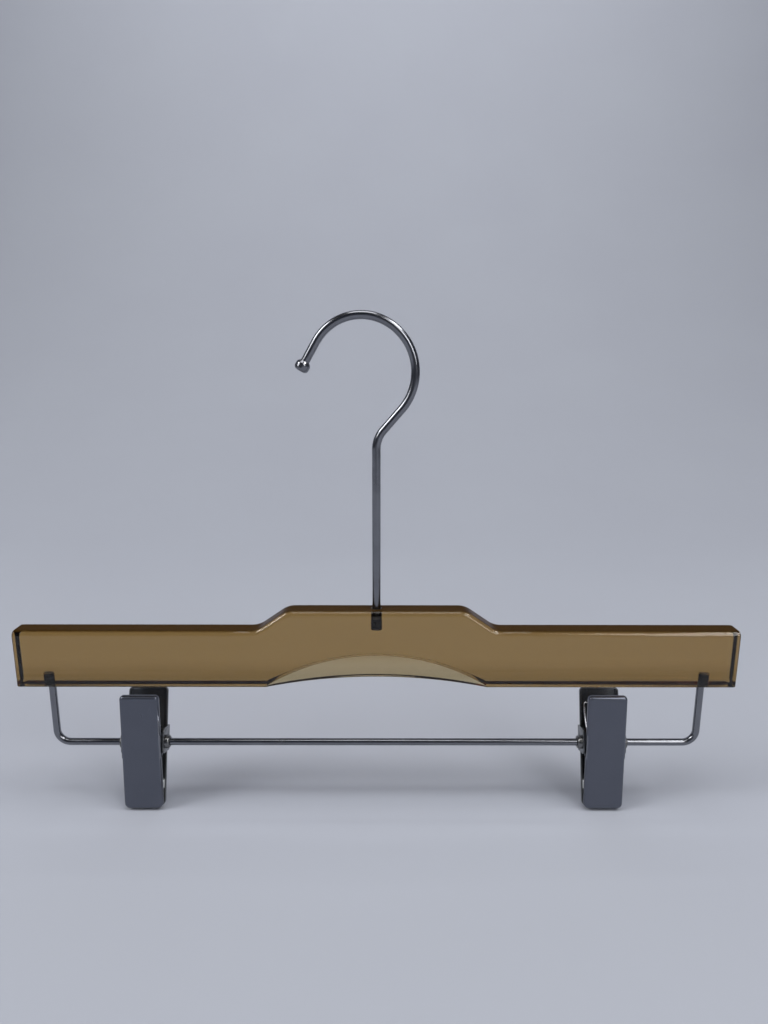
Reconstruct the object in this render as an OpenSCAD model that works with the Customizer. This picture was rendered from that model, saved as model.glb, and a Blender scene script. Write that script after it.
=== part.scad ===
// Trouser hanger: a clear bar with a swivel hook above it and a wire rail
// below it that carries two sprung clips. The origin is the seat inside the
// crook, straight above the stem. +Z is up, +X runs along the bar to the right
// and the front of the hanger looks along -Y.

/* [Bar] */
// Length of the bar
bar_len = 350; // [290:5:440]
// Thickness of the bar, front to back
bar_t = 12; // [10:0.5:16]
// Height of the bar's two arms
arm_h = 28.8; // [20:0.2:40]
// Height of the raised middle above the arms
crown_rise = 10.1; // [6:0.1:16]
// Half length of the raised middle, between its corners unrounded
crown_half = 43; // [30:1:60]
// Slope of the two shoulders, from level
shoulder_slope = 34.6; // [25:0.2:50]
// Radius at the top and at the foot of each shoulder
shoulder_r = 11; // [4:0.5:14]
// Radius of the bar's four end corners
end_r = 1.8; // [0.5:0.1:4]

/* [Arch and thumb recess] */
// Half length of the arch in the lower edge
arch_half = 53.8; // [30:0.2:70]
// Rise of the arch
arch_rise = 5.5; // [3:0.1:9]
// Rise of the recess in the back face, above the lower edge
recess_rise = 14.4; // [10:0.1:18]
// Depth of the recess at its top
recess_depth = 3.6; // [2:0.1:5]
// Slope of the recess floor, deeper toward the lower edge
recess_slope = 18; // [8:1:22]

/* [Hook] */
// Diameter of the hook wire
hook_wire = 4; // [3:0.1:4.6]
// Straight stem above the bar
stem_run = 77; // [40:1:110]
// Radius of the bend at the neck, on the wire's centre line
neck_r = 13; // [8:0.5:20]
// Angle that the neck turns the wire
neck_turn = 41; // [30:1:50]
// Straight run between the neck and the crook
neck_run = 12.6; // [4:0.2:20]
// Radius of the first part of the crook, on the wire's centre line
crook_r = 25.3; // [18:0.1:34]
// Radius of the second part of the crook
crook_end_r = 23.4; // [16:0.1:32]
// Angle at which the crook's radius changes
crook_change = 60; // [30:1:80]
// Angle at which the crook ends
crook_stop = 150; // [120:1:170]
// Straight tail after the crook
tail_run = 11.9; // [4:0.1:20]
// Diameter of the knob on the tail
knob_d = 6.7; // [5:0.1:9]
// Length of the knob
knob_len = 4.8; // [4:0.1:8]
// Length of the tail inside the knob
knob_grip = 2; // [1:0.1:3]
// Rounding of the knob's back
knob_back_r = 2; // [1:0.1:2.2]
// Rounding of the knob's face
knob_face_r = 1.6; // [0.6:0.1:1.8]

/* [Swivel socket] */
// Outer diameter of the socket that the stem turns in
socket_d = 5.4; // [5.2:0.1:8]
// Depth of the socket in the bar
socket_depth = 10.2; // [6:0.1:15]
// Depth of the crimp that holds the stem
crimp_depth = 0.25; // [0.1:0.01:0.35]
// Length of the crimp
crimp_len = 1.6; // [1:0.1:2.5]
// Distance from the crimp to the top of the bar
crimp_down = 4.3; // [3:0.1:4.5]
// Thickness of the socket's floor
socket_floor = 0.8; // [0.5:0.1:2]

/* [Wire rail] */
// Diameter of the rail wire
rail_wire = 3.5; // [2.5:0.1:4]
// Distance of the rail's two legs from the bar's ends
leg_inset = 14.5; // [8:0.5:30]
// Drop from the bar's lower edge to the rail, on the wire's centre line
rail_drop = 32.4; // [31:0.2:60]
// Radius of the rail's two bends, on the wire's centre line
rail_bend_r = 6.5; // [4.5:0.5:12]
// Outer diameter of the ferrules that hold the legs in the bar
ferrule_d = 5.2; // [4.9:0.1:8]
// Depth of the ferrules in the bar
ferrule_depth = 6.2; // [4:0.1:12]
// Thickness of a ferrule's closed end
ferrule_floor = 0.7; // [0.4:0.1:1.5]

/* [Clips] */
// Distance of the left clip from the rail's left leg
clip_left_in = 43.5; // [22:0.5:90]
// Distance of the right clip from the rail's right leg
clip_right_in = 46.5; // [22:0.5:90]
// Lean of both clips, top to the back
clip_lean = 10.15; // [0:0.05:20]
// Angle between one leg and the clip's middle plane
leg_angle = 6.25; // [4:0.05:8]
// Distance from the pivot to a leg's outer face
leg_off = 6.56; // [6:0.02:8]
// Length of a leg above the pivot
leg_up = 26.5; // [20:0.5:27.5]
// Length of a leg below the pivot
leg_down = 32.9; // [26:0.1:36]
// Width of the front leg
front_w = 19.3; // [17:0.1:24]
// How much wider the back leg is than the front leg
back_extra = 0.6; // [0.5:0.1:1.2]
// Thickness of the clip's sheet metal
sheet_t = 0.9; // [0.6:0.05:1.1]
// Depth of the rim round each leg
rim = 2.6; // [1.8:0.1:2.6]
// Radius of a leg's two upper corners
leg_top_r = 2; // [1:0.1:4]
// Radius of a leg's two lower corners
leg_foot_r = 2.8; // [1:0.1:5]
// How far the back leg's ears reach up the leg from the pivot
back_ear_up = 7.2; // [5:0.1:9]
// How far the back leg's ears reach down the leg from the pivot
back_ear_down = 5.4; // [4.4:0.1:9]
// Radius of the corners of the back leg's ears
back_ear_r = 2.2; // [1:0.1:3]
// Half length of the front leg's ears at their root
front_ear_half = 6; // [4:0.1:8]

/* [Clip pivot and spring] */
// Outer diameter of the hollow rivet
rivet_d = 4.9; // [4.6:0.05:5.2]
// Diameter of the rivet's heads
rivet_head_d = 6.6; // [5.6:0.1:8]
// Height of the rivet's head at the middle of the hanger
rivet_head_h = 2.3; // [1.3:0.1:3]
// Height of the rivet's head at the end of the hanger
rivet_end_h = 1.2; // [1.2:0.1:3]
// Rounding of the rivet's heads
rivet_head_r = 1.1; // [0.4:0.1:1.1]
// Diameter of the spring wire
spring_wire = 1.2; // [0.8:0.1:1.3]
// Play between the rivet and the spring's curls, on the radius
coil_play = 0.55; // [0.4:0.05:0.7]
// Number of curls, counted to where the arms cross
curls = 8; // [5:1:8]
// How far up the legs the spring's arms reach
arm_up = 18; // [12:0.5:20]
// Length of the bent tip of each arm
tip_len = 2.8; // [2.6:0.1:3.4]
// Radius of the bend before each tip, on the wire's centre line
tip_r = 1.4; // [1:0.1:1.4]

/* [Pads] */
// Height of the pads' upper end below the pivot
pad_top = 19.5; // [14:0.5:24]
// Distance from the pads' lower end to the foot of the legs
pad_foot = 2.4; // [2.2:0.1:5]
// Radius of the pads' upper edge at the jaw
pad_round = 1; // [0.4:0.1:1.4]
// Gap between the two pads, closed
pad_gap = 0.3; // [0.2:0.05:1]

/* [Clearances] */
// Gap round a pressed or glued piece, on the radius
seat_gap = 0.03; // [0.01:0.01:0.05]
// Gap round a piece that turns or slides, on the radius
run_gap = 0.06; // [0.03:0.01:0.1]
// Gap between sheets that turn against each other
side_gap = 0.1; // [0.06:0.01:0.2]
// Gap between a spring and what it rests on
soft_gap = 0.3; // [0.2:0.05:0.5]

/* [Hidden] */
$fn = 48;
// How far a cutter runs past the face that it cuts
cut = 1;
// Steps in a rounded corner and in the round end of an ear
corner_steps = 6;
ear_steps = 12;
// Sides of the large circles that cut the arch and the recess
arch_sides = 360;
// Half the angle of a front ear's round end
ear_turn = 75;
// Where the rounding of the knob's back starts, from level
knob_back_start = -55;
// How far a lapped stretch of the hook runs into its neighbours, and how much
// thinner it is, on the radius
lap = 0.4;
lap_step = 0.02;

// The crook, worked out upward from the stem's top at [0, 0]
neck_end = [
    neck_r * (1 - cos(neck_turn)) + neck_run * sin(neck_turn),
    neck_r * sin(neck_turn) + neck_run * cos(neck_turn)
];
crook_c = neck_end + crook_r * [-cos(neck_turn), sin(neck_turn)];
crook_end_c = crook_c + (crook_r - crook_end_r) * [cos(crook_change), sin(crook_change)];
crook_tip = crook_end_c + crook_end_r * [cos(crook_stop), sin(crook_stop)];
seat_r = crook_end_r - hook_wire / 2;
stem_top_z = -(crook_end_c[1] + sqrt(seat_r * seat_r - crook_end_c[0] * crook_end_c[0]));

// Heights, from the hook's seat down to the rail
crown_z = stem_top_z - stem_run;
arm_z = crown_z - crown_rise;
low_z = arm_z - arm_h;
rail_z = low_z - rail_drop;
stem_foot_z = crown_z - socket_depth + socket_floor + run_gap;
crimp_z = crown_z - crimp_down;

// Places along the rail
rail_half = bar_len / 2 - leg_inset;
clip_left_x = clip_left_in - rail_half;
clip_right_x = rail_half - clip_right_in;

// The back leg's width and where its ears lie, outside the front leg's rim
back_w = front_w + back_extra;
back_ear_in = front_w / 2 + side_gap;
back_ear_out = back_ear_in + sheet_t;

// How far past the pivot an ear reaches toward the other leg's rim
ear_reach = leg_off - rim - soft_gap;

// The coil's mean radius, half its length, the rings along one curl, the sides
// of the spring's wire and the angle between the rings of a bent tip
coil_r = rivet_d / 2 + coil_play + spring_wire / 2;
coil_half = front_w / 2 - sheet_t - soft_gap - spring_wire / 2;
curl_rings = 8;
spring_sides = 6;
tip_turn = 22.5;

// Points on an arc, centre c, radius r, from angle a to angle b, in n steps
function arc(c, r, a, b, n = corner_steps) = [
    for (i = [0:n]) c + r * [cos(a + (b - a) * i / n), sin(a + (b - a) * i / n)]
];

// The corner between two straight edges, rounded: p is the sharp corner, a and
// b are the directions away from it, r is the radius
function fillet(p, a, b, r) =
    let (
        half = acos(a * b) / 2,
        mid = (a + b) / norm(a + b),
        c = p + mid * r / sin(half),
        pa = p + a * r / tan(half) - c,
        pb = p + b * r / tan(half) - c,
        a0 = atan2(pa[1], pa[0]),
        turn = atan2(pb[1], pb[0]) - a0,
        short = turn > 180 ? turn - 360 : turn < -180 ? turn + 360 : turn
    ) arc(c, r, a0, a0 + short);

// A rectangle with its four corners rounded, from x -w/2 to w/2
module round_box_2d(w, low, high, low_r, high_r) {
    polygon(concat(
        arc([w / 2 - low_r, low + low_r], low_r, -90, 0),
        arc([w / 2 - high_r, high - high_r], high_r, 0, 90),
        arc([high_r - w / 2, high - high_r], high_r, 90, 180),
        arc([low_r - w / 2, low + low_r], low_r, 180, 270)
    ));
}

// Stands a flat outline up: its x stays x, its y becomes z, from y0 to y0 + t
module upright(y0, t) {
    translate([0, y0 + t, 0]) rotate([90, 0, 0]) linear_extrude(t) children();
}

// A rod along X, from x0 to x1
module rod_x(r, x0, x1) {
    translate([x0, 0, 0]) rotate([0, 90, 0]) cylinder(h = x1 - x0, r = r);
}

// A bend of round wire in the X Z plane, centre c, from angle a to angle b
module bend(c, r, wire, a, b) {
    translate([c[0], 0, c[1]]) rotate([90, 0, 0]) rotate([0, 0, a])
        rotate_extrude(angle = b - a) translate([r, 0]) circle(d = wire);
}

// The same bend a hair thinner, its ends lapped into its neighbours
module lapped_bend(c, r, wire, a, b) {
    turn = lap / r * 180 / PI;
    bend(c, r, wire - 2 * lap_step, a - turn, b + turn);
}

// A straight run of round wire in the X Z plane, from p, at an angle from +Z
module run_wire(p, angle, len, wire) {
    translate([p[0], 0, p[1]]) rotate([0, angle, 0]) cylinder(h = len, d = wire);
}

// The clear bar

module bar_outline() {
    slope_x = crown_rise / tan(shoulder_slope);
    right = [1, 0];
    down = [cos(shoulder_slope), -sin(shoulder_slope)];
    crown_corner = [crown_half, crown_rise + arm_h];
    foot_corner = [crown_half + slope_x, arm_h];
    half = concat(
        fillet(crown_corner, -right, down, shoulder_r),
        fillet(foot_corner, -down, right, shoulder_r),
        arc([bar_len / 2 - end_r, arm_h - end_r], end_r, 90, 0),
        arc([bar_len / 2 - end_r, end_r], end_r, 0, -90)
    );
    count = len(half);
    polygon(concat(half, [for (i = [1:count]) [-half[count - i][0], half[count - i][1]]]));
}

function segment_r(half, rise) = (half * half + rise * rise) / (2 * rise);

module arch_cut() {
    r = segment_r(arch_half, arch_rise);
    translate([0, bar_t / 2 + cut, arch_rise - r]) rotate([90, 0, 0])
        cylinder(h = bar_t + 2 * cut, r = r, $fn = arch_sides);
}

module recess_cut() {
    r = segment_r(arch_half, recess_rise);
    intersection() {
        translate([0, bar_t / 2 + cut, recess_rise - r]) rotate([90, 0, 0])
            cylinder(h = bar_t + cut, r = r, $fn = arch_sides);
        translate([-bar_len / 2, bar_t / 2 - recess_depth, recess_rise])
            rotate([-recess_slope, 0, 0])
            translate([0, 0, -bar_len / 2]) cube([bar_len, bar_t * 3, bar_len]);
    }
}

module ferrule_hole(side) {
    translate([side * rail_half, 0, -cut])
        cylinder(h = ferrule_depth + cut, r = ferrule_d / 2 + seat_gap);
}

module body() {
    color([0.42, 0.34, 0.16, 0.75]) translate([0, 0, low_z]) difference() {
        upright(-bar_t / 2, bar_t) bar_outline();
        arch_cut();
        recess_cut();
        translate([0, 0, arm_h + crown_rise - socket_depth])
            cylinder(h = socket_depth + cut, r = socket_d / 2 + seat_gap);
        ferrule_hole(-1);
        ferrule_hole(1);
    }
}

// The hook

module stem() {
    difference() {
        translate([0, 0, stem_foot_z - stem_top_z])
            cylinder(h = stem_top_z - stem_foot_z, d = hook_wire);
        translate([0, 0, crimp_z - stem_top_z - crimp_len / 2 - run_gap]) difference() {
            cylinder(h = crimp_len + 2 * run_gap, d = hook_wire + cut);
            cylinder(h = crimp_len + 2 * run_gap, r = hook_wire / 2 - crimp_depth);
        }
    }
}

// Every second stretch of the hook is the lapped one
module hook() {
    neck_top = neck_end - neck_run * [sin(neck_turn), cos(neck_turn)];
    tail_way = [sin(-crook_stop), cos(-crook_stop)];
    color([0.66, 0.67, 0.69]) translate([0, 0, stem_top_z]) union() {
        stem();
        lapped_bend([neck_r, 0], neck_r, hook_wire, 180 - neck_turn, 180);
        run_wire(neck_top, neck_turn, neck_run, hook_wire);
        lapped_bend(crook_c, crook_r, hook_wire, -neck_turn, crook_change);
        bend(crook_end_c, crook_end_r, hook_wire, crook_change, crook_stop);
        run_wire(crook_tip - lap * tail_way, -crook_stop, tail_run + lap,
            hook_wire - 2 * lap_step);
    }
}

// The knob is pressed over the end of the tail
module hook_knob() {
    end = [0, stem_top_z] + crook_tip;
    r = knob_d / 2;
    color([0.7, 0.71, 0.73]) translate([end[0], 0, end[1]]) rotate([0, -crook_stop, 0])
        translate([0, 0, tail_run]) difference() {
            rotate_extrude() polygon(concat(
                [[0, -knob_grip]],
                arc([r - knob_back_r, knob_back_r - knob_grip], knob_back_r, knob_back_start, 0),
                arc([r - knob_face_r, knob_len - knob_grip - knob_face_r], knob_face_r, 0, 90),
                [[0, knob_len - knob_grip]]
            ));
            translate([0, 0, -knob_grip - cut])
                cylinder(h = knob_grip + cut + seat_gap, r = hook_wire / 2 + seat_gap);
        }
}

// The socket is a closed tube, crimped into a groove round the stem
module hook_socket() {
    bore = hook_wire / 2 + run_gap;
    crimp_foot = socket_depth - crimp_down - crimp_len / 2;
    color([0.22, 0.22, 0.24]) translate([0, 0, crown_z - socket_depth]) difference() {
        cylinder(h = socket_depth, d = socket_d);
        translate([0, 0, socket_floor])
            cylinder(h = socket_depth, r = bore - crimp_depth);
        translate([0, 0, socket_floor])
            cylinder(h = crimp_foot - socket_floor, r = bore);
        translate([0, 0, crimp_foot + crimp_len])
            cylinder(h = socket_depth, r = bore);
        translate([0, 0, crimp_foot]) difference() {
            cylinder(h = crimp_len, d = socket_d + cut);
            cylinder(h = crimp_len, r = socket_d / 2 - crimp_depth);
        }
    }
}

// The rail and its ferrules

module rail_side(side) {
    leg_top = rail_drop + ferrule_depth - ferrule_floor - seat_gap;
    start = side > 0 ? 270 : 180;
    translate([side * rail_half, 0, rail_bend_r])
        cylinder(h = leg_top - rail_bend_r, d = rail_wire);
    bend([side * (rail_half - rail_bend_r), rail_bend_r], rail_bend_r, rail_wire,
        start, start + 90);
}

module trouser_rail() {
    color([0.6, 0.61, 0.64]) translate([0, 0, rail_z]) union() {
        rail_side(-1);
        rail_side(1);
        rod_x(rail_wire / 2, rail_bend_r - rail_half, rail_half - rail_bend_r);
    }
}

module rail_ferrule(side) {
    color([0.2, 0.2, 0.22]) translate([side * rail_half, 0, low_z]) difference() {
        cylinder(h = ferrule_depth - seat_gap, d = ferrule_d);
        translate([0, 0, -cut])
            cylinder(h = ferrule_depth - ferrule_floor + cut, r = rail_wire / 2 + seat_gap);
    }
}

module rail_ferrule_left() { rail_ferrule(-1); }

module rail_ferrule_right() { rail_ferrule(1); }

// The clips. Each piece is drawn about the pivot with the clip's middle plane
// upright, and then placed and leaned.

module place_clip(x) {
    translate([x, 0, rail_z]) rotate([-clip_lean, 0, 0]) children();
}

// A pressed tray: face outside at y = -leg_off, rim toward the pivot
module tray(w) {
    difference() {
        upright(-leg_off, rim) round_box_2d(w, -leg_down, leg_up, leg_foot_r, leg_top_r);
        upright(sheet_t - leg_off, rim) round_box_2d(w - 2 * sheet_t, sheet_t - leg_down,
            leg_up - sheet_t, leg_foot_r - sheet_t, leg_top_r - sheet_t);
    }
}

// An ear lies in a plane across X, between x0 and x0 + sheet_t, on one side
module ear_plate(side, x0) {
    shift = side > 0 ? x0 : -x0 - sheet_t;
    translate([shift, 0, 0]) rotate([90, 0, 90]) linear_extrude(sheet_t) children();
}

// Outline of a front ear: a root along the rim and a round end about the pivot
module front_ear_2d() {
    polygon(concat(
        [[sheet_t / 2 - leg_off, -front_ear_half], [rim - leg_off, -front_ear_half]],
        arc([0, 0], ear_reach, -ear_turn, ear_turn, ear_steps),
        [[rim - leg_off, front_ear_half], [sheet_t / 2 - leg_off, front_ear_half]]
    ));
}

// Outline of a back ear: straight edges across the clip and rounded corners
module back_ear_2d() {
    r = back_ear_r;
    polygon(concat(
        [[sheet_t - leg_off, -back_ear_down]],
        arc([ear_reach - r, r - back_ear_down], r, -90, 0),
        arc([ear_reach - r, back_ear_up - r], r, 0, 90),
        [[sheet_t - leg_off, back_ear_up]]
    ));
}

module pivot_hole() {
    rod_x(rivet_d / 2 + run_gap, -back_w, back_w);
}

module front_leg() {
    color([0.27, 0.29, 0.33]) rotate([leg_angle, 0, 0]) difference() {
        union() {
            tray(front_w);
            for (side = [-1, 1]) ear_plate(side, front_w / 2 - sheet_t) front_ear_2d();
        }
        pivot_hole();
    }
}

module back_leg() {
    color([0.27, 0.29, 0.33]) rotate([-leg_angle, 0, 0]) mirror([0, 1, 0]) difference() {
        union() {
            tray(back_w);
            for (side = [-1, 1]) ear_plate(side, back_ear_in) back_ear_2d();
        }
        pivot_hole();
    }
}

// One end of the rivet's outline, as points of radius and height
function rivet_head(h) =
    let (foot = back_ear_out + side_gap, r = rivet_head_d / 2) concat(
        [[rivet_d / 2, foot], [r, foot]],
        arc([r - rivet_head_r, foot + h - rivet_head_r], rivet_head_r, 0, 90),
        [[0, foot + h]]
    );

// A hollow rivet with a rounded head at each end, free to slide on the rail.
// The lower head is at the end of the hanger that side points to.
module rivet(side) {
    inner = rivet_head(rivet_head_h);
    outer = rivet_head(rivet_end_h);
    count = len(outer);
    reach = back_ear_out + side_gap + rivet_head_h + cut;
    color([0.55, 0.56, 0.58]) rotate([0, -90 * side, 0]) difference() {
        rotate_extrude() polygon(concat(
            [for (i = [1:count]) [outer[count - i][0], -outer[count - i][1]]],
            inner
        ));
        cylinder(h = 2 * reach, r = rail_wire / 2 + run_gap, center = true);
    }
}

// The spring's centre line, as points in the pivot's own frame: x across the
// clip, y to the back and z up the legs. It comes down its front arm to the
// back of the coil, winds round the rivet from +X to -X and goes up its back
// arm from the front of the coil.
function spring_touch() = leg_off / cos(leg_angle) + arm_up * tan(leg_angle)
    - sheet_t / cos(leg_angle) - spring_wire / 2 - soft_gap;

// Each ring of the tube is [centre, direction of travel, a direction across it]
function tip_rings(side, d, across) =
    let (
        corner = [side * coil_half, -side * spring_touch(), arm_up],
        out = [side, 0, 0],
        c = corner + tip_r * (d - out)
    ) concat(
        [[corner - tip_len * out, out, across]],
        [for (a = [0:tip_turn:90]) [c + tip_r * (sin(a) * out - cos(a) * d),
            cos(a) * out + sin(a) * d, across]]
    );

function flip_rings(rings) = [
    for (i = [1:len(rings)]) let (ring = rings[len(rings) - i]) [ring[0], -ring[1], ring[2]]
];

function coil_rings(from, to) =
    let (
        n = ceil((from - to) / 360 * curl_rings),
        lead = -2 * coil_half / (from - to) * 180 / PI
    ) [
        for (i = [0:n]) let (a = from + (to - from) * i / n) [
            [coil_half * (1 - 2 * i / n), coil_r * cos(a), coil_r * sin(a)],
            unit([lead, coil_r * sin(a), -coil_r * cos(a)]),
            [0, -cos(a), -sin(a)]
        ]
    ];

function unit(v) = v / norm(v);

function spring_rings() =
    let (
        touch = spring_touch(),
        leave = atan2(arm_up, touch) + acos(coil_r / norm([arm_up, touch])),
        start = 180 - leave,
        down = [0, sin(start), -cos(start)],
        up = [0, sin(leave), -cos(leave)]
    ) concat(
        tip_rings(1, down, [0, -cos(start), -sin(start)]),
        coil_rings(start, leave - 360 * curls),
        flip_rings(tip_rings(-1, -up, [0, -cos(leave), -sin(leave)]))
    );

// The least gap between turns, over pairs of rings at least half a curl apart
function least_gap(rings) = min([
    for (i = [0:len(rings) - 1]) for (j = [i + curl_rings / 2:1:len(rings) - 1])
        norm(rings[i][0] - rings[j][0])
]) - spring_wire;

// A tube of one diameter along the rings
module tube(rings, r, sides) {
    points = [
        for (ring = rings) for (k = [0:sides - 1])
            let (a = 360 * k / sides, other = cross(ring[1], ring[2]))
            ring[0] + r * (cos(a) * ring[2] + sin(a) * other)
    ];
    last = (len(rings) - 1) * sides;
    walls = [
        for (i = [0:len(rings) - 2]) for (k = [0:sides - 1])
            let (a = i * sides + k, b = i * sides + (k + 1) % sides)
            each [[a, a + sides, b], [b, a + sides, b + sides]]
    ];
    ends = [for (k = [1:sides - 2]) each [[0, k, k + 1], [last, last + k + 1, last + k]]];
    polyhedron(points, concat(walls, ends));
}

module spring() {
    color([0.78, 0.79, 0.81]) tube(spring_rings(), spring_wire / 2, spring_sides);
}

// A pad fills the jaw of a leg, from its sheet to the clip's middle plane
module jaw_pad(w) {
    seat = sheet_t + seat_gap - leg_off;
    low = pad_foot - leg_down;
    face_low = low * tan(leg_angle) - pad_gap / 2 / cos(leg_angle);
    face_top = -pad_top * tan(leg_angle) - pad_gap / 2 / cos(leg_angle);
    color([0.82, 0.84, 0.85, 0.7]) translate([-w / 2, 0, 0]) rotate([90, 0, 90])
        linear_extrude(w) polygon(concat(
            [[seat, low], [face_low, low]],
            fillet([face_top, -pad_top], unit([-tan(leg_angle), -1]), [-1, 0], pad_round),
            [[seat, -pad_top]]
        ));
}

module front_pad() {
    rotate([leg_angle, 0, 0]) jaw_pad(front_w - 2 * sheet_t - 2 * soft_gap);
}

module back_pad() {
    rotate([-leg_angle, 0, 0]) mirror([0, 1, 0]) jaw_pad(front_w - 2 * sheet_t - 2 * soft_gap);
}

module clip_left_front_leg() { place_clip(clip_left_x) front_leg(); }

module clip_left_back_leg() { place_clip(clip_left_x) back_leg(); }

module clip_left_rivet() { place_clip(clip_left_x) rivet(-1); }

module clip_left_spring() { place_clip(clip_left_x) spring(); }

module clip_left_front_pad() { place_clip(clip_left_x) front_pad(); }

module clip_left_back_pad() { place_clip(clip_left_x) back_pad(); }

module clip_right_front_leg() { place_clip(clip_right_x) front_leg(); }

module clip_right_back_leg() { place_clip(clip_right_x) back_leg(); }

module clip_right_rivet() { place_clip(clip_right_x) rivet(1); }

module clip_right_spring() { place_clip(clip_right_x) spring(); }

module clip_right_front_pad() { place_clip(clip_right_x) front_pad(); }

module clip_right_back_pad() { place_clip(clip_right_x) back_pad(); }

echo(least_gap_between_curls = least_gap(spring_rings()));

body();
hook();
hook_knob();
hook_socket();
trouser_rail();
rail_ferrule_left();
rail_ferrule_right();
clip_left_front_leg();
clip_left_back_leg();
clip_left_rivet();
clip_left_spring();
clip_left_front_pad();
clip_left_back_pad();
clip_right_front_leg();
clip_right_back_leg();
clip_right_rivet();
clip_right_spring();
clip_right_front_pad();
clip_right_back_pad();
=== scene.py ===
import math

import bmesh
import bpy
from mathutils import Matrix, Vector


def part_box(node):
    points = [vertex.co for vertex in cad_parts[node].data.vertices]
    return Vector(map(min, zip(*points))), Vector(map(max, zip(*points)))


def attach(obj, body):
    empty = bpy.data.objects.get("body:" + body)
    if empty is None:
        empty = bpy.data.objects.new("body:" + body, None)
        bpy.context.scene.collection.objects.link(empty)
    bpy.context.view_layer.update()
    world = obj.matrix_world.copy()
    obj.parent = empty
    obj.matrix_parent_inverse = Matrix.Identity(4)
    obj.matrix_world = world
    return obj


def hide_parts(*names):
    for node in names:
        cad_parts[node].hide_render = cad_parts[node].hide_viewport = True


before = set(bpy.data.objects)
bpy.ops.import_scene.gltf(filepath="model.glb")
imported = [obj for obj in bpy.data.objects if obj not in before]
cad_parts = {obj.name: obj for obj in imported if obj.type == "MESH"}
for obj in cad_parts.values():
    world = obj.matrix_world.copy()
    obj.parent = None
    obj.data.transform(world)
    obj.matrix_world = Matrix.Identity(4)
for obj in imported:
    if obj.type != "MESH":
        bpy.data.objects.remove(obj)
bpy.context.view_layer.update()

# Lengths below are in millimetres, in the frame of the CAD model.
MM = 0.001
SIDES = ("left", "right")

# The bar's own shape
BAR_BACK_R = 2.8
BAR_END_R = 0.9
BAR_FRONT_LOW_R = 0.9
BAR_FRONT_TOP_R = 2.6
CROWN_HALF = 43.0
CROWN_RISE = 10.1
SHOULDER_SLOPE = math.radians(34.6)
SHOULDER_R = 11.0
ARCH_HALF = 53.8
ARCH_RISE = 5.5
RECESS_RISE = 14.4
RECESS_DEPTH = 3.6
RECESS_SLOPE = math.radians(18)
RECESS_EDGE_R = 0.12
RECESS_FILLET_R = 0.15
RECESS_EDGE_ROOM = 0.4
RECESS_BLEND_FROM = 0.86
FLOOR_EDGE_R = 0.7
LEAST_R = 0.002
ARCH_STEP = 1.2
HOLE_SQUEEZE = 0.02

# The hook's path, upward from the seat
NECK_R = 13.0
NECK_TURN = math.radians(41)
NECK_RUN = 12.6
CROOK_R = 25.3
CROOK_END_R = 23.4
CROOK_CHANGE = math.radians(60)
CROOK_STOP = math.radians(150)
TAIL_RUN = 11.9
KNOB_D = 6.7
KNOB_LEN = 4.8
KNOB_GRIP = 2.0
KNOB_BACK_R = 2.0
KNOB_FACE_R = 1.7
KNOB_BITE = 0.05
KNOB_COLLAR = 0.25
KNOB_COLLAR_TURN = math.radians(-52)

# The sleeves in the bar
SOCKET_PLAY = 0.06
SOCKET_EDGE = 0.5
SOCKET_BASE_T = 0.8
CRIMP_DOWN = 4.3
CRIMP_HALF = 0.8
CRIMP_DENT = 0.25
CRIMP_SLOPE = 0.3
FERRULE_PLAY = 0.03
FERRULE_TOP_T = 0.7
FERRULE_TOP_EDGE = 0.3
SLEEVE_LIP = 0.1

# The rail and the clips
RAIL_BEND_R = 6.5
CLIP_LEAN = math.radians(10.15)
LEG_ANGLE = math.radians(6.25)
LEG_OFF = 6.56
LEG_UP = 26.5
LEG_DOWN = 32.9
FRONT_W = 19.3
BACK_W = 19.9
SHEET_T = 0.9
RIM = 2.6
BEND_R = 1.5
LEG_TOP_R = 2.0
LEG_FOOT_R = 2.8
LIP_R = 0.12
BACK_EAR_UP = 7.2
BACK_EAR_DOWN = 5.4
BACK_EAR_R = 2.2
FRONT_EAR_HALF = 6.0
EAR_REACH = 3.66
SIDE_GAP = 0.1
RIVET_R = 2.45
RIVET_HEAD_R = 3.3
RIVET_HEAD_H = 2.3
RIVET_END_H = 1.2
RIVET_HEAD_ROUND = 1.1
RIVET_PLAY = 0.06
SPRING_R = 0.6
SPRING_SIDES = 16
COIL_R = 3.6
COIL_HALF = 7.85
COIL_CURLS = 8
ARM_UP = 18.0
TIP_LEN = 2.8
TIP_BEND_R = 1.4
SOFT_GAP = 0.3
PAD_TOP = 19.5
PAD_FOOT = 2.4
PAD_GAP = 0.3
PAD_RIBS = 5
PAD_RIB_H = 0.14
PAD_LIP_H = 4.4
PAD_SOFT = 0.35

# Mesh building
SUPPORT = 0.05
AXIS_R = 0.0001
LATHE_SIDES = 48
WIRE_END_R = 0.25
SMOOTH_ANGLE = 35
SLEEVE_ANGLE = 30
BAR_HOLE_ANGLE = 40
ROUND_ANGLE = 50


def box_mm(node):
    """The low and high corner of a CAD node."""
    low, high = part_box(node)
    return Vector(low) / MM, Vector(high) / MM


BAR_LOW, BAR_HIGH = box_mm("body")
BAR_HALF = BAR_HIGH.x
BAR_T_HALF = BAR_HIGH.y
LOW_Z = BAR_LOW.z
CROWN_H = BAR_HIGH.z - BAR_LOW.z
ARM_H = CROWN_H - CROWN_RISE
HOOK_R = box_mm("hook")[1].y
STEM_FOOT_Z = box_mm("hook")[0].z
RAIL_R = box_mm("trouser_rail")[1].y
RAIL_Z = box_mm("trouser_rail")[0].z + RAIL_R
RAIL_TOP_Z = box_mm("trouser_rail")[1].z
RAIL_HALF = box_mm("trouser_rail")[1].x - RAIL_R
CLIP_X = {side: sum(box_mm(f"clip_{side}_front_leg"), Vector()).x / 2 for side in SIDES}


# Mesh building

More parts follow.
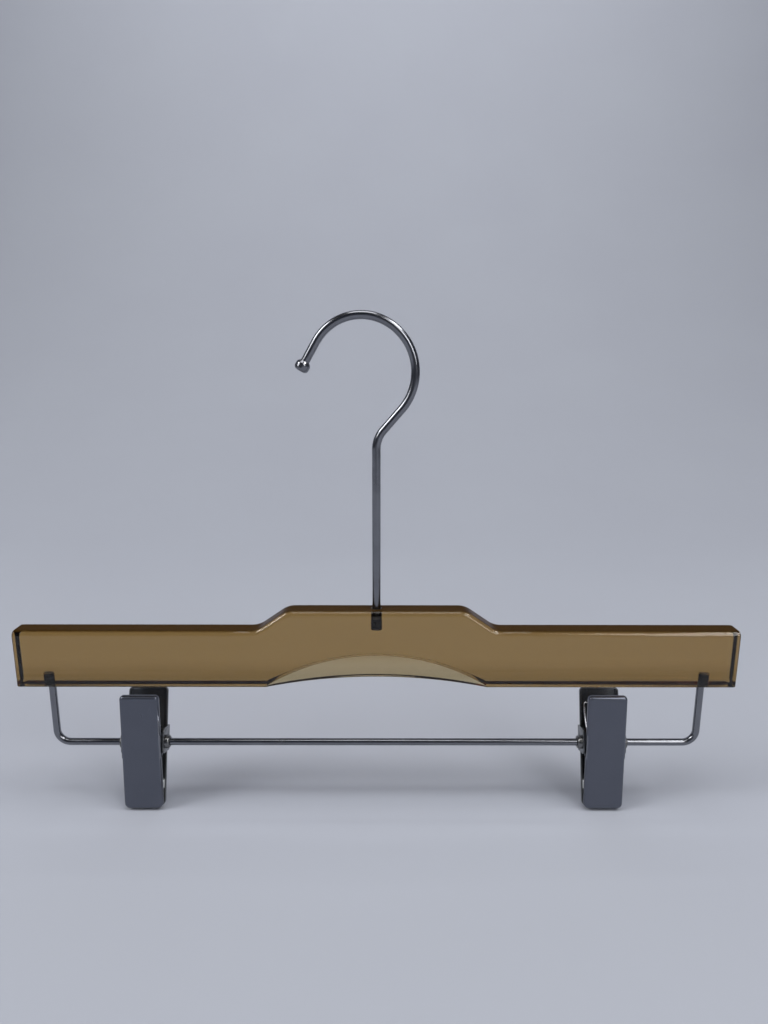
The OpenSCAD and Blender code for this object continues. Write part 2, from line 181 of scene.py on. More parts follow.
def new_object(name, verts, faces, flat_angle=SMOOTH_ANGLE):
    """A mesh object from points in millimetres, smooth up to an angle between faces."""
    mesh = bpy.data.meshes.new(name)
    mesh.from_pydata([Vector(v) * MM for v in verts], [], faces)
    work = bmesh.new()
    work.from_mesh(mesh)
    bmesh.ops.remove_doubles(work, verts=work.verts, dist=2e-7)
    bmesh.ops.dissolve_degenerate(work, edges=work.edges, dist=1e-7)
    bmesh.ops.recalc_face_normals(work, faces=work.faces)
    work.to_mesh(mesh)
    work.free()
    soften(mesh, flat_angle)
    obj = bpy.data.objects.new(name, mesh)
    bpy.context.scene.collection.objects.link(obj)
    return obj


def soften(mesh, flat_angle):
    """Smooth shading, broken where faces meet at more than the angle in degrees."""
    mesh.shade_smooth()
    mesh.set_sharp_from_angle(angle=math.radians(flat_angle))


def skin(rings, closed_ends=True):
    """Faces between rings of equal length, with a face over each end."""
    count = len(rings[0])
    verts = [point for ring in rings for point in ring]
    faces = []
    for i in range(len(rings) - 1):
        for k in range(count):
            n = (k + 1) % count
            faces.append((i * count + k, i * count + n, (i + 1) * count + n, (i + 1) * count + k))
    if closed_ends:
        last = (len(rings) - 1) * count
        faces.append(tuple(range(count))[::-1])
        faces.append(tuple(range(last, last + count)))
    return verts, faces


def loop_skin(rings):
    """Faces between rings that close on themselves, so the last meets the first."""
    verts, faces = skin(rings, closed_ends=False)
    count = len(rings[0])
    last = (len(rings) - 1) * count
    for k in range(count):
        n = (k + 1) % count
        faces.append((last + k, last + n, n, k))
    return verts, faces


def apply_matrix(obj, matrix):
    """Moves the mesh itself; a mirroring matrix keeps the faces outward."""
    obj.data.transform(matrix)
    if matrix.determinant() < 0:
        obj.data.flip_normals()
    return obj


def apply_modifiers(obj):
    """Bakes the object's modifiers into its mesh."""
    graph = bpy.context.evaluated_depsgraph_get()
    mesh = bpy.data.meshes.new_from_object(obj.evaluated_get(graph))
    obj.modifiers.clear()
    obj.data = mesh
    return obj


def boolean(obj, tool, operation, flat_angle=SMOOTH_ANGLE):
    """Cuts the tool away or joins it on, and removes the tool."""
    mod = obj.modifiers.new("cut", "BOOLEAN")
    mod.object = tool
    mod.operation = operation
    mod.solver = "EXACT"
    apply_modifiers(obj)
    bpy.data.objects.remove(tool)
    soften(obj.data, flat_angle)
    return obj


def arc(cx, cy, r, a, b, steps):
    """Points on a circle from angle a to angle b."""
    return [
        (cx + r * math.cos(a + (b - a) * i / steps), cy + r * math.sin(a + (b - a) * i / steps))
        for i in range(steps + 1)
    ]


def lathe(name, profile, flat_angle=SMOOTH_ANGLE):
    """Turns a closed outline of (radius, height) points about Z."""
    rings = []
    for k in range(LATHE_SIDES):
        turn = 2 * math.pi * k / LATHE_SIDES
        rings.append([(r * math.cos(turn), r * math.sin(turn), z) for r, z in profile])
    verts, faces = loop_skin(rings)
    return new_object(name, verts, faces, flat_angle)


def sweep(name, path, radius, sides=32):
    """A round wire along a path, its ends slightly rounded."""
    points = [Vector(p) for p in path]
    tangents = []
    for i, point in enumerate(points):
        before = points[max(i - 1, 0)]
        after = points[min(i + 1, len(points) - 1)]
        tangents.append((after - before).normalized())
    across = tangents[0].orthogonal().normalized()
    frames = []
    for point, along in zip(points, tangents):
        across = (across - along * across.dot(along)).normalized()
        frames.append((point, along, across))
    rounding = [(WIRE_END_R * (1 - math.cos(a)), WIRE_END_R * (1 - math.sin(a)))
                for a in (math.radians(d) for d in (0, 30, 60, 90))]
    rings = [wire_ring(frames[0], radius - inset, sides, back) for inset, back in rounding[::-1]]
    rings += [wire_ring(f, radius, sides, 0) for f in frames[1:-1]]
    rings += [wire_ring(frames[-1], radius - inset, sides, -back) for inset, back in rounding]
    return new_object(name, *skin(rings), flat_angle=ROUND_ANGLE)


def wire_ring(place, radius, sides, shift):
    """A circle of points round the wire, shifted along it."""
    point, along, across = place
    other = along.cross(across)
    centre = point + along * shift
    return [
        centre + radius * (math.cos(2 * math.pi * k / sides) * across
                           + math.sin(2 * math.pi * k / sides) * other)
        for k in range(sides)
    ]


def finish_piece(obj, body, material, slot, *nodes):
    """Gives the piece its material and body, and hides the CAD nodes that it replaces; the slot is
    not used.
    """
    obj.data.materials.clear()
    obj.data.materials.append(material)
    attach(obj, body)
    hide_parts(*nodes)
    return obj


# The bar

def segment_r(half, rise):
    """Radius of a circle's segment of this half width and height."""
    return (half * half + rise * rise) / (2 * rise)


def bump_z(x, half, rise):
    """Height of a circle's segment that stands on the lower edge."""
    if abs(x) >= half:
        return 0.0
    r = segment_r(half, rise)
    return rise - r + math.sqrt(r * r - x * x)


def shoulder_points():
    """Where each shoulder's two arcs start and end, as distances from the middle."""
    reach = SHOULDER_R * math.tan(SHOULDER_SLOPE / 2)
    foot = CROWN_HALF + CROWN_RISE / math.tan(SHOULDER_SLOPE)
    level = reach * math.cos(SHOULDER_SLOPE)
    return CROWN_HALF - reach, CROWN_HALF + level, foot - level, foot + reach


def top_z(x):
    """Height of the bar's upper edge above its lower edge, and its slope there."""
    x = abs(x)
    a, b, c, d = shoulder_points()
    if x <= a:
        return CROWN_H, 0.0
    if x <= b:
        rise = math.sqrt(SHOULDER_R ** 2 - (x - a) ** 2)
        return CROWN_H - SHOULDER_R + rise, (x - a) / rise
    if x <= c:
        return CROWN_H - (x - CROWN_HALF) * math.tan(SHOULDER_SLOPE), math.tan(SHOULDER_SLOPE)
    if x <= d:
        rise = math.sqrt(SHOULDER_R ** 2 - (d - x) ** 2)
        return ARM_H + SHOULDER_R - rise, (d - x) / rise
    return ARM_H, 0.0


def corner(cy, cz, r, stretch, start, steps=8):
    """A quarter turn clockwise from an angle in degrees, stretched along z."""
    points = []
    for i in range(steps + 1):
        a = math.radians(start - 90 * i / steps)
        points.append((cy + r * math.cos(a), cz + r * stretch * math.sin(a)))
    return points


def end_inset(x, r):
    """How far an edge of radius r round the bar's end draws its section in at x."""
    out = r - (BAR_HALF - abs(x))
    return r - math.sqrt(max(r * r - out * out, 0)) if out > 0 else 0.0


def recess_floor_y(z):
    """Depth of the recess's sloped floor at a height above the lower edge."""
    return BAR_T_HALF - RECESS_DEPTH - (RECESS_RISE - z) * math.tan(RECESS_SLOPE)


def recess_outline(mouth_y, rim, low):
    """The recess as (y, z) points: its roof from the mouth inward, and its floor down."""
    floor_r = min(FLOOR_EDGE_R, (rim - low) * RECESS_EDGE_ROOM)
    fillet_r = min(RECESS_FILLET_R, (rim - low) * RECESS_EDGE_ROOM)
    roof_end = min(recess_floor_y(rim), mouth_y - fillet_r - 2 * SUPPORT)
    points = [(mouth_y, rim), (roof_end + fillet_r + SUPPORT, rim)]
    for i in range(5):
        t = i / 4
        y = roof_end + fillet_r * (1 - t) ** 2
        z = rim - fillet_r * t ** 2
        points.append((y + recess_floor_y(z) - recess_floor_y(rim) if i else y, z))
    edge_z = low + floor_r + SUPPORT
    points.append((recess_floor_y(edge_z), edge_z))
    for i in range(6):
        t = i / 5
        z = low + floor_r * (1 - t) ** 2
        points.append((recess_floor_y(z) - floor_r * t ** 2, z))
    points.append((recess_floor_y(low) - floor_r - SUPPORT, low))
    return points


def recess_edge(x, back_r, back_h):
    """Depth and height of the rounding at the recess's edge, which grows sharp
    inside the arch and is the bar's own back edge outside it."""
    start = ARCH_HALF * RECESS_BLEND_FROM
    part = min(max((abs(x) - start) / (ARCH_HALF - start), 0), 1)
    part *= part * (3 - 2 * part)
    return (RECESS_EDGE_R + (back_r - RECESS_EDGE_R) * part,
            RECESS_EDGE_R + (back_h - RECESS_EDGE_R) * part)


def bar_section(x):
    """The bar's outline across its length at x, as a loop of (y, z) points."""
    inset = end_inset(x, BAR_END_R)
    front = inset - BAR_T_HALF
    back_inset = end_inset(x, BAR_BACK_R)
    back = BAR_T_HALF - back_inset
    back_r = max(BAR_BACK_R - back_inset, LEAST_R)
    back_h = max(BAR_BACK_R - inset, LEAST_R)
    foot_r = max(BAR_FRONT_LOW_R - inset, LEAST_R)
    brow_r = max(BAR_FRONT_TOP_R - inset, LEAST_R)
    top, top_slope = top_z(x)
    top -= inset
    lean = math.hypot(1, top_slope)
    brow = top - brow_r * lean
    low = bump_z(x, ARCH_HALF, ARCH_RISE) + inset
    rim = max(bump_z(x, ARCH_HALF, RECESS_RISE), low - inset) + inset
    rim_r, rim_h = recess_edge(x, back_r, back_h)

    loop = corner(front + foot_r, low + foot_r, foot_r, 1, 270)
    loop += [(front, low + foot_r + SUPPORT), (front, brow - SUPPORT)]
    loop += corner(front + brow_r, brow, brow_r, lean, 180)
    loop += [(front + brow_r + SUPPORT, top), (back - back_r - SUPPORT, top)]
    loop += corner(back - back_r, top - back_h * lean, back_r, back_h / back_r * lean, 90)
    loop += [(back, top - back_h * lean - SUPPORT), (back, rim + rim_h + SUPPORT)]
    loop += corner(back - rim_r, rim + rim_h, rim_r, rim_h / rim_r, 0)
    loop += recess_outline(back - rim_r - SUPPORT, rim, low)
    loop.append((front + foot_r + SUPPORT, low))
    return loop


def bar_stations():
    """Places along the bar at which its section is drawn."""
    a, b, c, d = shoulder_points()
    marks = {0.0, ARCH_HALF}
    for r in (BAR_BACK_R, BAR_END_R):
        marks.update((BAR_HALF - r - SUPPORT, BAR_HALF - r))
        marks.update(BAR_HALF - r * (1 - math.sin(math.pi * i / 16)) for i in range(1, 9))
    marks.update(i * ARCH_STEP for i in range(int(ARCH_HALF / ARCH_STEP)))
    marks.update(ARCH_HALF - step for step in (0.01, 0.1, 0.3, 0.6))
    marks.update(ARCH_HALF + step for step in (0.05, 0.5))
    for start, stop in ((a, b), (c, d)):
        marks.update(start + (stop - start) * i / 10 for i in range(11))
        marks.update((start - SUPPORT, stop + SUPPORT))
    marks.update(d + (BAR_HALF - d) * i / 6 for i in range(1, 6))
    right = sorted(marks)
    return [-x for x in right[::-1] if x > 0] + right


def make_bar(material):
    """The bar, with a blind hole for each sleeve that is let into it."""
    rings = [[(x, y, z + LOW_Z) for y, z in bar_section(x)] for x in bar_stations()]
    bar = new_object("acrylic_bar", *skin(rings))
    for node in ("hook_socket", "rail_ferrule_left", "rail_ferrule_right"):
        low, high = box_mm(node)
        boolean(bar, plug(low, high), "DIFFERENCE", BAR_HOLE_ANGLE)
    return finish_piece(bar, "hanger", material, "acrylic", "body")


def plug(low, high):
    """A cutter a hair thinner than a sleeve, so that the sleeve fills its hole."""
    r = (high.x - low.x) / 2 - HOLE_SQUEEZE
    centre = (low + high) / 2
    opens_down = low.z < LOW_Z + 1
    bottom = low.z - 2.0 if opens_down else low.z + HOLE_SQUEEZE
    top = high.z - HOLE_SQUEEZE if opens_down else high.z + 2.0
    tool = lathe("plug", [(AXIS_R, bottom), (r, bottom), (r, top), (AXIS_R, top)])
    return apply_matrix(tool, Matrix.Translation(Vector((centre.x, centre.y, 0)) * MM))


# The hook

def arc_path(cx, cz, r, a, b, step=2.0):
    """An arc in the hook's plane, with a point every so many degrees."""
    steps = max(2, int(math.degrees(abs(b - a)) / step))
    return [(x, 0, z) for x, z in arc(cx, cz, r, a, b, steps)]


def hook_path():
    """The wire's centre line, and the tail's end and direction."""
    neck = Vector((NECK_R * (1 - math.cos(NECK_TURN)), NECK_R * math.sin(NECK_TURN)))
    neck_way = Vector((math.sin(NECK_TURN), math.cos(NECK_TURN)))
    start = neck + NECK_RUN * neck_way
    crook = start + CROOK_R * Vector((-neck_way.y, neck_way.x))
    change = Vector((math.cos(CROOK_CHANGE), math.sin(CROOK_CHANGE)))
    finish = crook + (CROOK_R - CROOK_END_R) * change
    seat_r = CROOK_END_R - HOOK_R
    base = -(finish.y + math.sqrt(seat_r ** 2 - finish.x ** 2))
    path = [(0, 0, STEM_FOOT_Z), (0, 0, base - 20), (0, 0, base - 0.5)]
    path += arc_path(NECK_R, base, NECK_R, math.pi, math.pi - NECK_TURN)
    path += arc_path(crook.x, base + crook.y, CROOK_R, -NECK_TURN, CROOK_CHANGE)
    path += arc_path(finish.x, base + finish.y, CROOK_END_R, CROOK_CHANGE, CROOK_STOP)[1:]
    tail = Vector(path[-1])
    way = Vector((-math.sin(CROOK_STOP), 0, math.cos(CROOK_STOP)))
    end = tail + way * TAIL_RUN
    return path + [tuple(tail + way * TAIL_RUN / 2), tuple(end)], end, way


def make_hook(material):
    """The bent wire and the knob that is pressed on its end."""
    path, end, way = hook_path()
    wire = sweep("hook_wire", path, HOOK_R)
    finish_piece(wire, "hook", material, "hook_steel", "hook")
    r = KNOB_D / 2
    face = KNOB_LEN - KNOB_GRIP
    bite = HOOK_R - KNOB_BITE
    profile = [(bite, -KNOB_GRIP), (HOOK_R + KNOB_COLLAR, -KNOB_GRIP)]
    profile += arc(r - KNOB_BACK_R, KNOB_BACK_R - KNOB_GRIP, KNOB_BACK_R, KNOB_COLLAR_TURN, 0, 8)
    profile += arc(r - KNOB_FACE_R, face - KNOB_FACE_R, KNOB_FACE_R, 0, math.pi / 2, 8)
    profile += [(0.6, face), (AXIS_R, face), (AXIS_R, 0.02), (bite, 0.02)]
    knob = lathe("crook_knob", profile)
    turn = Vector((0, 0, 1)).rotation_difference(way).to_matrix().to_4x4()
    apply_matrix(knob, Matrix.Translation(end * MM) @ turn)
    finish_piece(knob, "hook", material, "hook_steel", "hook_knob")


# The sleeves in the bar and the rail

def make_socket(material):
    """The cup that the stem turns in, crimped below its mouth."""
    low, high = box_mm("hook_socket")
    r = high.x
    bore = HOOK_R + SOCKET_PLAY
    crimp = high.z - CRIMP_DOWN
    base = low.z + SOCKET_BASE_T
    dent_r = r - CRIMP_DENT
    profile = [(AXIS_R, low.z), (r - SOCKET_EDGE, low.z), (r, low.z + SOCKET_EDGE)]
    profile += [(r, crimp - CRIMP_HALF), (dent_r, crimp - CRIMP_HALF + CRIMP_SLOPE)]
    profile += [(dent_r, crimp + CRIMP_HALF - CRIMP_SLOPE), (r, crimp + CRIMP_HALF)]
    profile += [(r, high.z - SLEEVE_LIP), (r - SLEEVE_LIP, high.z)]
    profile += [(bore + SLEEVE_LIP, high.z), (bore, high.z - SLEEVE_LIP)]
    profile += [(bore, crimp), (bore, base), (AXIS_R, base)]
    socket = lathe("stem_socket", profile, SLEEVE_ANGLE)
    finish_piece(socket, "hanger", material, "socket_metal", "hook_socket")


def make_ferrules(material):
    """The two capped sleeves that hold the rail's legs."""
    for side in SIDES:
        node = f"rail_ferrule_{side}"
        low, high = box_mm(node)
        r = (high.x - low.x) / 2
        bore = RAIL_R + FERRULE_PLAY
        roof = high.z - FERRULE_TOP_T
        profile = [(bore, roof), (bore, low.z + SLEEVE_LIP), (bore + SLEEVE_LIP, low.z)]
        profile += [(r - SLEEVE_LIP, low.z), (r, low.z + SLEEVE_LIP)]
        profile += [(r, high.z - FERRULE_TOP_EDGE), (r - FERRULE_TOP_EDGE, high.z)]
        profile += [(AXIS_R, high.z), (AXIS_R, roof)]
        sleeve = lathe(f"rail_sleeve_{side}", profile, SLEEVE_ANGLE)
        centre = (low + high) / 2
        apply_matrix(sleeve, Matrix.Translation(Vector((centre.x, centre.y, 0)) * MM))
        finish_piece(sleeve, "hanger", material, "socket_metal", node)


def make_rail(material):
    """One wire: a leg, a bend, the straight rail, a bend and a leg."""
    inner = RAIL_HALF - RAIL_BEND_R
    middle = RAIL_Z + RAIL_BEND_R
    path = [(-RAIL_HALF, 0, RAIL_TOP_Z), (-RAIL_HALF, 0, middle + 0.5)]
    path += arc_path(-inner, middle, RAIL_BEND_R, math.pi, math.pi * 1.5, 5)
    path += [(-inner + 0.5, 0, RAIL_Z), (0, 0, RAIL_Z), (inner - 0.5, 0, RAIL_Z)]
    path += arc_path(inner, middle, RAIL_BEND_R, -math.pi / 2, 0, 5)
    path += [(RAIL_HALF, 0, middle + 0.5), (RAIL_HALF, 0, RAIL_TOP_Z)]
    rail = sweep("rail_wire", path, RAIL_R)
    finish_piece(rail, "hanger", material, "rail_steel", "trouser_rail")


# The clips. Each piece is drawn about the pivot with the clip's middle plane
# upright, the front leg at -Y, and then leaned and put on the rail.

def clip_matrix(side, leg=0):
    """From the pivot's frame to the object's; leg is 1 for front, -1 for back."""
    place = Matrix.Translation(Vector((CLIP_X[side], 0, RAIL_Z)) * MM)
    turn = Matrix.Rotation(leg * LEG_ANGLE - CLIP_LEAN, 4, "X")
    flip = Matrix.Scale(-1, 4, Vector((0, 1, 0))) if leg < 0 else Matrix.Identity(4)
    return place @ turn @ flip


def tray_outline(width, inset, steps=8):
    """A leg's outline drawn in by an inset, as (x, z) points."""
    w = width / 2 - inset
    low = inset - LEG_DOWN
    high = LEG_UP - inset
    foot = max(LEG_FOOT_R - inset, 0.1)
    top = max(LEG_TOP_R - inset, 0.1)
    quarter = math.pi / 2
    points = arc(w - foot, low + foot, foot, -quarter, 0, steps)
    points += arc(w - top, high - top, top, 0, quarter, steps)
    points += arc(top - w, high - top, top, quarter, 2 * quarter, steps)
    points += arc(foot - w, low + foot, foot, 2 * quarter, 3 * quarter, steps)
    return points


def tray_profile():
    """(inset, depth) points over the outside, round the rim's lip and inside."""
    quarter = [math.pi / 2 * i / 6 for i in range(7)]
    lip = [math.pi / 2 * i / 3 for i in range(4)]
    inner_r = BEND_R - SHEET_T
    points = [(BEND_R + SUPPORT, 0)]
    points += [(BEND_R * (1 - math.sin(a)), BEND_R * (1 - math.cos(a))) for a in quarter]
    points += [(LIP_R * (1 - math.cos(a)), RIM - LIP_R * (1 - math.sin(a))) for a in lip]
    points += [(SHEET_T - LIP_R * (1 - math.sin(a)), RIM - LIP_R * (1 - math.cos(a)))
               for a in lip]
    points += [(SHEET_T + inner_r * (1 - math.cos(a)), SHEET_T + inner_r * (1 - math.sin(a)))
               for a in quarter]
    points.append((BEND_R + SUPPORT * 2, SHEET_T))
    return points


def make_tray(name, width):
    """A leg's pressed sheet, with its rim bent back all round."""
    rings = []
    for inset, depth in tray_profile():
        rings.append([(x, depth - LEG_OFF, z) for x, z in tray_outline(width, inset)])
    return new_object(name, *skin(rings))


def ear_outline(back):
    """An ear's edge as (y, z) points, from the sheet toward the other leg."""
    quarter = math.pi / 2
    if back:
        root = 0.35 - LEG_OFF
        r = BACK_EAR_R
        points = [(root, -BACK_EAR_DOWN)]
        points += arc(EAR_REACH - r, r - BACK_EAR_DOWN, r, -quarter, 0, 8)
        points += arc(EAR_REACH - r, BACK_EAR_UP - r, r, 0, quarter, 8)
        return points + [(root, BACK_EAR_UP)]
    root = SHEET_T / 2 - LEG_OFF
    edge = RIM - LEG_OFF
    half = FRONT_EAR_HALF
    points = [(root, -half), (edge, -half)]
    points += arc(0, 0, EAR_REACH, -math.radians(75), math.radians(75), 20)
    return points + [(edge, half), (root, half)]


def make_ear(x0, back):
    """One ear with its pivot hole and softened edges."""
    outline = ear_outline(back)
    rings = [[(x, y, z) for y, z in outline] for x in (x0, x0 + SHEET_T)]
    ear = new_object("ear", *skin(rings))
    hole_r = RIVET_R + RIVET_PLAY
    hole = lathe("hole", [(AXIS_R, x0 - 1), (hole_r, x0 - 1),
                          (hole_r, x0 + 2), (AXIS_R, x0 + 2)])
    apply_matrix(hole, Matrix.Rotation(math.pi / 2, 4, "Y"))
    boolean(ear, hole, "DIFFERENCE")
    soft = ear.modifiers.new("edges", "BEVEL")
    soft.width = LIP_R * MM
    soft.segments = 2
    soft.limit_method = "ANGLE"
    soft.angle_limit = math.radians(ROUND_ANGLE)
    apply_modifiers(ear)
    soften(ear.data, SMOOTH_ANGLE)
    return ear


def make_leg(side, front, material):
    """A tray with its two ears; the back leg's ears go outside the front's."""
    word = "front" if front else "back"
    width = FRONT_W if front else BACK_W
    leg = make_tray(f"clip_{side}_{word}_tray", width)
    x0 = FRONT_W / 2 - SHEET_T if front else FRONT_W / 2 + SIDE_GAP
    for sign in (-1, 1):
        ear = make_ear(x0 if sign > 0 else -x0 - SHEET_T, not front)
        boolean(leg, ear, "UNION")
    apply_matrix(leg, clip_matrix(side, 1 if front else -1))
    finish_piece(leg, f"clip_{side}_{word}", material, "clip_metal", f"clip_{side}_{word}_leg")


def rivet_end(h):
    """Half of the rivet's outline, as (radius, height) points from its shank."""
    foot = FRONT_W / 2 + SIDE_GAP + SHEET_T + SIDE_GAP
    end = foot + h
    bore = RAIL_R + RIVET_PLAY
    r = RIVET_HEAD_ROUND
    points = [(RIVET_R, foot), (RIVET_HEAD_R - 0.1, foot), (RIVET_HEAD_R, foot + 0.1)]
    points += arc(RIVET_HEAD_R - r, end - r, r, 0, math.pi / 2, 8)[1:]
    return points + [(bore + 0.35, end - 0.03), (bore + 0.1, end - 0.2), (bore, end - 0.5)]


def make_rivet(side, material):
    """The rivet's flatter head is toward the bar's end."""
    inner = rivet_end(RIVET_HEAD_H)
    outer = rivet_end(RIVET_END_H)
    profile = inner + [(r, -x) for r, x in outer[::-1]]
    rivet = lathe(f"clip_{side}_hollow_rivet", profile)
    turn = math.pi / 2 if side == "left" else -math.pi / 2
    apply_matrix(rivet, clip_matrix(side) @ Matrix.Rotation(turn, 4, "Y"))
    finish_piece(rivet, f"clip_{side}_slider", material, "rivet_metal", f"clip_{side}_rivet")


def arm_touch():
    """Distance from the middle plane to a spring arm's end, resting near its leg."""
    face = (LEG_OFF - SHEET_T) / math.cos(LEG_ANGLE) + ARM_UP * math.tan(LEG_ANGLE)
    return face - SPRING_R - SOFT_GAP


def arm_path(sign):
    """The bent tip and the arm at the coil's end sign * COIL_HALF, tip first."""
    touch = arm_touch()
    leave = math.atan2(ARM_UP, touch) + math.acos(COIL_R / math.hypot(ARM_UP, touch))
    corner_point = Vector((sign * COIL_HALF, -sign * touch, ARM_UP))
    foot = Vector((sign * COIL_HALF, -sign * COIL_R * math.cos(leave), COIL_R * math.sin(leave)))
    down = (foot - corner_point).normalized()
    out = Vector((sign, 0, 0))
    centre = corner_point + TIP_BEND_R * (down - out)
    path = [corner_point - TIP_LEN * out]
    for i in range(7):
        a = math.pi / 2 * i / 6
        path.append(centre + TIP_BEND_R * (math.sin(a) * out - math.cos(a) * down))
    return path + [path[-1].lerp(foot, 0.5), foot], leave


def coil_path(leave, first, last):
    """The coil between two shares of its length, 0 at the front arm's end."""
    start = math.pi - leave
    stop = leave - 2 * math.pi * COIL_CURLS
    steps = max(4, int(abs(stop - start) * abs(last - first) / math.radians(9)))
    path = []
    for i in range(steps + 1):
        t = first + (last - first) * i / steps
        a = start + (stop - start) * t
        path.append(Vector((COIL_HALF * (1 - 2 * t), COIL_R * math.cos(a), COIL_R * math.sin(a))))
    return path


def make_spring(side, material):
    """The coil and front arm ride on the front leg; the back arm, with the last
    curl, rides on the back leg."""
    front_arm, leave = arm_path(1)
    back_arm, _ = arm_path(-1)
    split = 1 - 1 / COIL_CURLS
    coil = sweep(f"clip_{side}_spring_coil",
                 front_arm[:-1] + coil_path(leave, 0, split), SPRING_R, SPRING_SIDES)
    arm = sweep(f"clip_{side}_spring_arm",
                coil_path(leave, split, 1) + back_arm[::-1][1:], SPRING_R, SPRING_SIDES)
    for obj, word in ((coil, "front"), (arm, "back")):
        apply_matrix(obj, clip_matrix(side))
        finish_piece(obj, f"clip_{side}_{word}", material, "spring_steel", f"clip_{side}_spring")


def pad_face_y(z):
    """The pad's jaw face in its leg's frame, at a height."""
    return z * math.tan(LEG_ANGLE) - PAD_GAP / 2 / math.cos(LEG_ANGLE)


def pad_outline(seat, top, top_r, low=PAD_FOOT - LEG_DOWN):
    """The pad's outline as (y, z) points, with ribs across its jaw face."""
    start = low + 0.5
    run = top - 1.2 - start
    count = PAD_RIBS * 8
    edge = [(seat, low + 0.3), (seat + 0.3, low), (pad_face_y(low) - 0.5, low)]
    for i in range(count + 1):
        z = start + run * i / count
        edge.append((pad_face_y(z) - PAD_RIB_H * (1 - math.cos(2 * math.pi * i / 8)), z))
    end_y = pad_face_y(top)
    edge += arc(end_y - top_r, top - top_r, top_r, math.radians(10), math.pi / 2, 8)
    return edge + [(seat, top)]


def pad_block(name, half, *shape):
    """The outline drawn across the clip, with softened ends."""
    rings = []
    for x, inset in ((-half, PAD_SOFT), (-half + 0.1, 0.12), (-half + PAD_SOFT, 0),
                     (half - PAD_SOFT, 0), (half - 0.1, 0.12), (half, PAD_SOFT)):
        rings.append([(x, max(y - inset, shape[0]), z) for y, z in pad_outline(*shape)])
    return new_object(name, *skin(rings), flat_angle=ROUND_ANGLE)


def make_pad(side, front, material):
    """A ribbed wedge in the jaw, with a wider lip between the two legs' rims at its top."""
    word = "front" if front else "back"
    half = FRONT_W / 2 - SHEET_T - SOFT_GAP
    pad = pad_block(f"clip_{side}_{word}_lining", half,
                    SHEET_T + 0.03 - LEG_OFF, -PAD_TOP, 1.0)
    lip = pad_block("lip", FRONT_W / 2 - SOFT_GAP,
                    RIM + 0.15 - LEG_OFF, -PAD_TOP - 0.2, 0.8, -PAD_TOP - PAD_LIP_H)
    boolean(pad, lip, "UNION", ROUND_ANGLE)
    apply_matrix(pad, clip_matrix(side, 1 if front else -1))
    finish_piece(pad, f"clip_{side}_{word}", material, "pad_plastic", f"clip_{side}_{word}_pad")


# Materials

class Nodes:
    """A material's node tree, with short ways to add and join nodes."""

    def __init__(self, name):
        self.material = bpy.data.materials.new(name)
        self.material.use_nodes = True
        self.tree = self.material.node_tree
        self.tree.nodes.clear()
        self.out = self.add("ShaderNodeOutputMaterial")

    def add(self, kind, inputs=None, **settings):
        """A node with these settings, its inputs given as values or as other nodes' outputs."""
        node = self.tree.nodes.new(kind)
        for key, value in settings.items():
            setattr(node, key, value)
        for key, value in (inputs or {}).items():
            self.put(node.inputs[key], value)
        return node

    def put(self, socket, value):
        if isinstance(value, bpy.types.NodeSocket):
            self.tree.links.new(value, socket)
        else:
            socket.default_value = value

    def coords(self, scale=(1, 1, 1), rotation=(0, 0, 0)):
        """Object coordinates in millimetres, scaled and turned."""
        place = self.add("ShaderNodeTexCoord")
        grow = Vector(scale) / MM
        return self.add("ShaderNodeMapping", {"Vector": place.outputs["Object"],
                                              "Scale": grow, "Rotation": rotation}).outputs[0]

    def noise(self, vector, scale, detail, rough):
        return self.add("ShaderNodeTexNoise", {
            "Vector": vector, "Scale": scale, "Detail": detail,
            "Roughness": rough}).outputs["Fac"]

    def span(self, value, low, high, to_low, to_high):
        """The value's range low to high carried over to another, and held at its ends."""
        return self.add("ShaderNodeMapRange", {
            "Value": value, "From Min": low, "From Max": high,
            "To Min": to_low, "To Max": to_high}).outputs[0]

    def math(self, operation, a, b):
        """One Math node on two values."""
        return self.add("ShaderNodeMath", {0: a, 1: b}, operation=operation).outputs[0]

    def mix(self, share, a, b):
        """Colour a at a share of 0, colour b at 1."""
        node = self.add("ShaderNodeMix", data_type="RGBA")
        self.put(node.inputs["Factor"], share)
        self.put(node.inputs[6], a)
        self.put(node.inputs[7], b)
        return node.outputs[2]

    def bump(self, height, distance_mm, strength=1.0, normal=None):
        node = self.add("ShaderNodeBump", {
            "Height": height, "Distance": distance_mm * MM, "Strength": strength})
        if normal is not None:
            self.put(node.inputs["Normal"], normal)
        return node.outputs[0]

    def edges(self, radius_mm):
        """1 on sharp edges, 0 on flat faces."""
        bevel = self.add("ShaderNodeBevel", {"Radius": radius_mm * MM}, samples=4)
        plain = self.add("ShaderNodeNewGeometry")
        dot = self.add("ShaderNodeVectorMath", {0: bevel.outputs[0], 1: plain.outputs["Normal"]},
                       operation="DOT_PRODUCT").outputs["Value"]
        return self.span(dot, 0.99, 0.85, 0.0, 1.0)

    def surface(self, **inputs):
        """A Principled surface, its inputs named with _ for each space."""
        node = self.add("ShaderNodeBsdfPrincipled")
        for key, value in inputs.items():
            self.put(node.inputs[key.replace("_", " ")], value)
        self.tree.links.new(node.outputs[0], self.out.inputs["Surface"])
        return node


